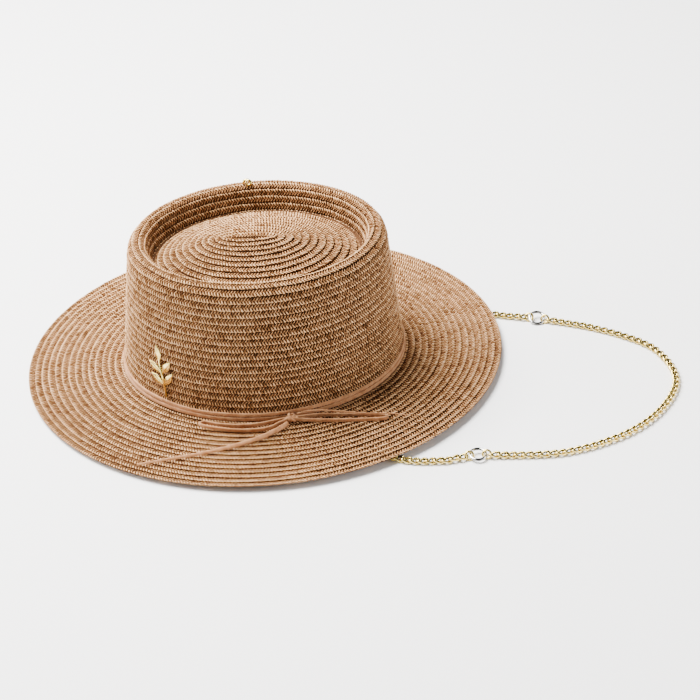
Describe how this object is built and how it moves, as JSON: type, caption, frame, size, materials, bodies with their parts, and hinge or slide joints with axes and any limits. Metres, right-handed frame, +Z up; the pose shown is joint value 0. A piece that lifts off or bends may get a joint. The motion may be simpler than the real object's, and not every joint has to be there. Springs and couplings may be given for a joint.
{
  "type": "straw boater hat",
  "caption": "Straw boater hat with a flat oval brim, sunk crown tip, lace band tied in a bow, gold sprig and a curb chain with plain rings.",
  "frame": {"origin": "middle of the outline of the hat and its chain, on the surface they lie on", "axes": "+Z up out of the crown, +X from the hat towards the chain, +Y away from the bow"},
  "size_m": [0.4637, 0.3158, 0.1066],
  "materials": {
    "straw": "plaited straw braid, matt",
    "lace": "soft tan suede lace",
    "gold": "pale gold plate, polished",
    "silver": "pale silver plate, polished"
  },
  "bodies": {
    "root": {"crown": "straw", "brim": "straw", "band_lower": "lace", "band_upper": "lace", "bow_knot": "lace", "bow_loop_left": "lace", "bow_loop_right": "lace", "bow_tail_left": "lace", "bow_tail_right": "lace", "sprig": "gold", "crest_staple": "gold", "chain_tab_back": "gold", "chain_tab_front": "gold", "chain_long": "gold", "chain_back": "gold", "chain_front": "gold", "ring_back": "silver", "ring_front": "silver", "jump_back_hat": "gold", "jump_back_long": "gold", "jump_front_hat": "gold", "jump_front_long": "gold"}
  },
  "joints": []
}
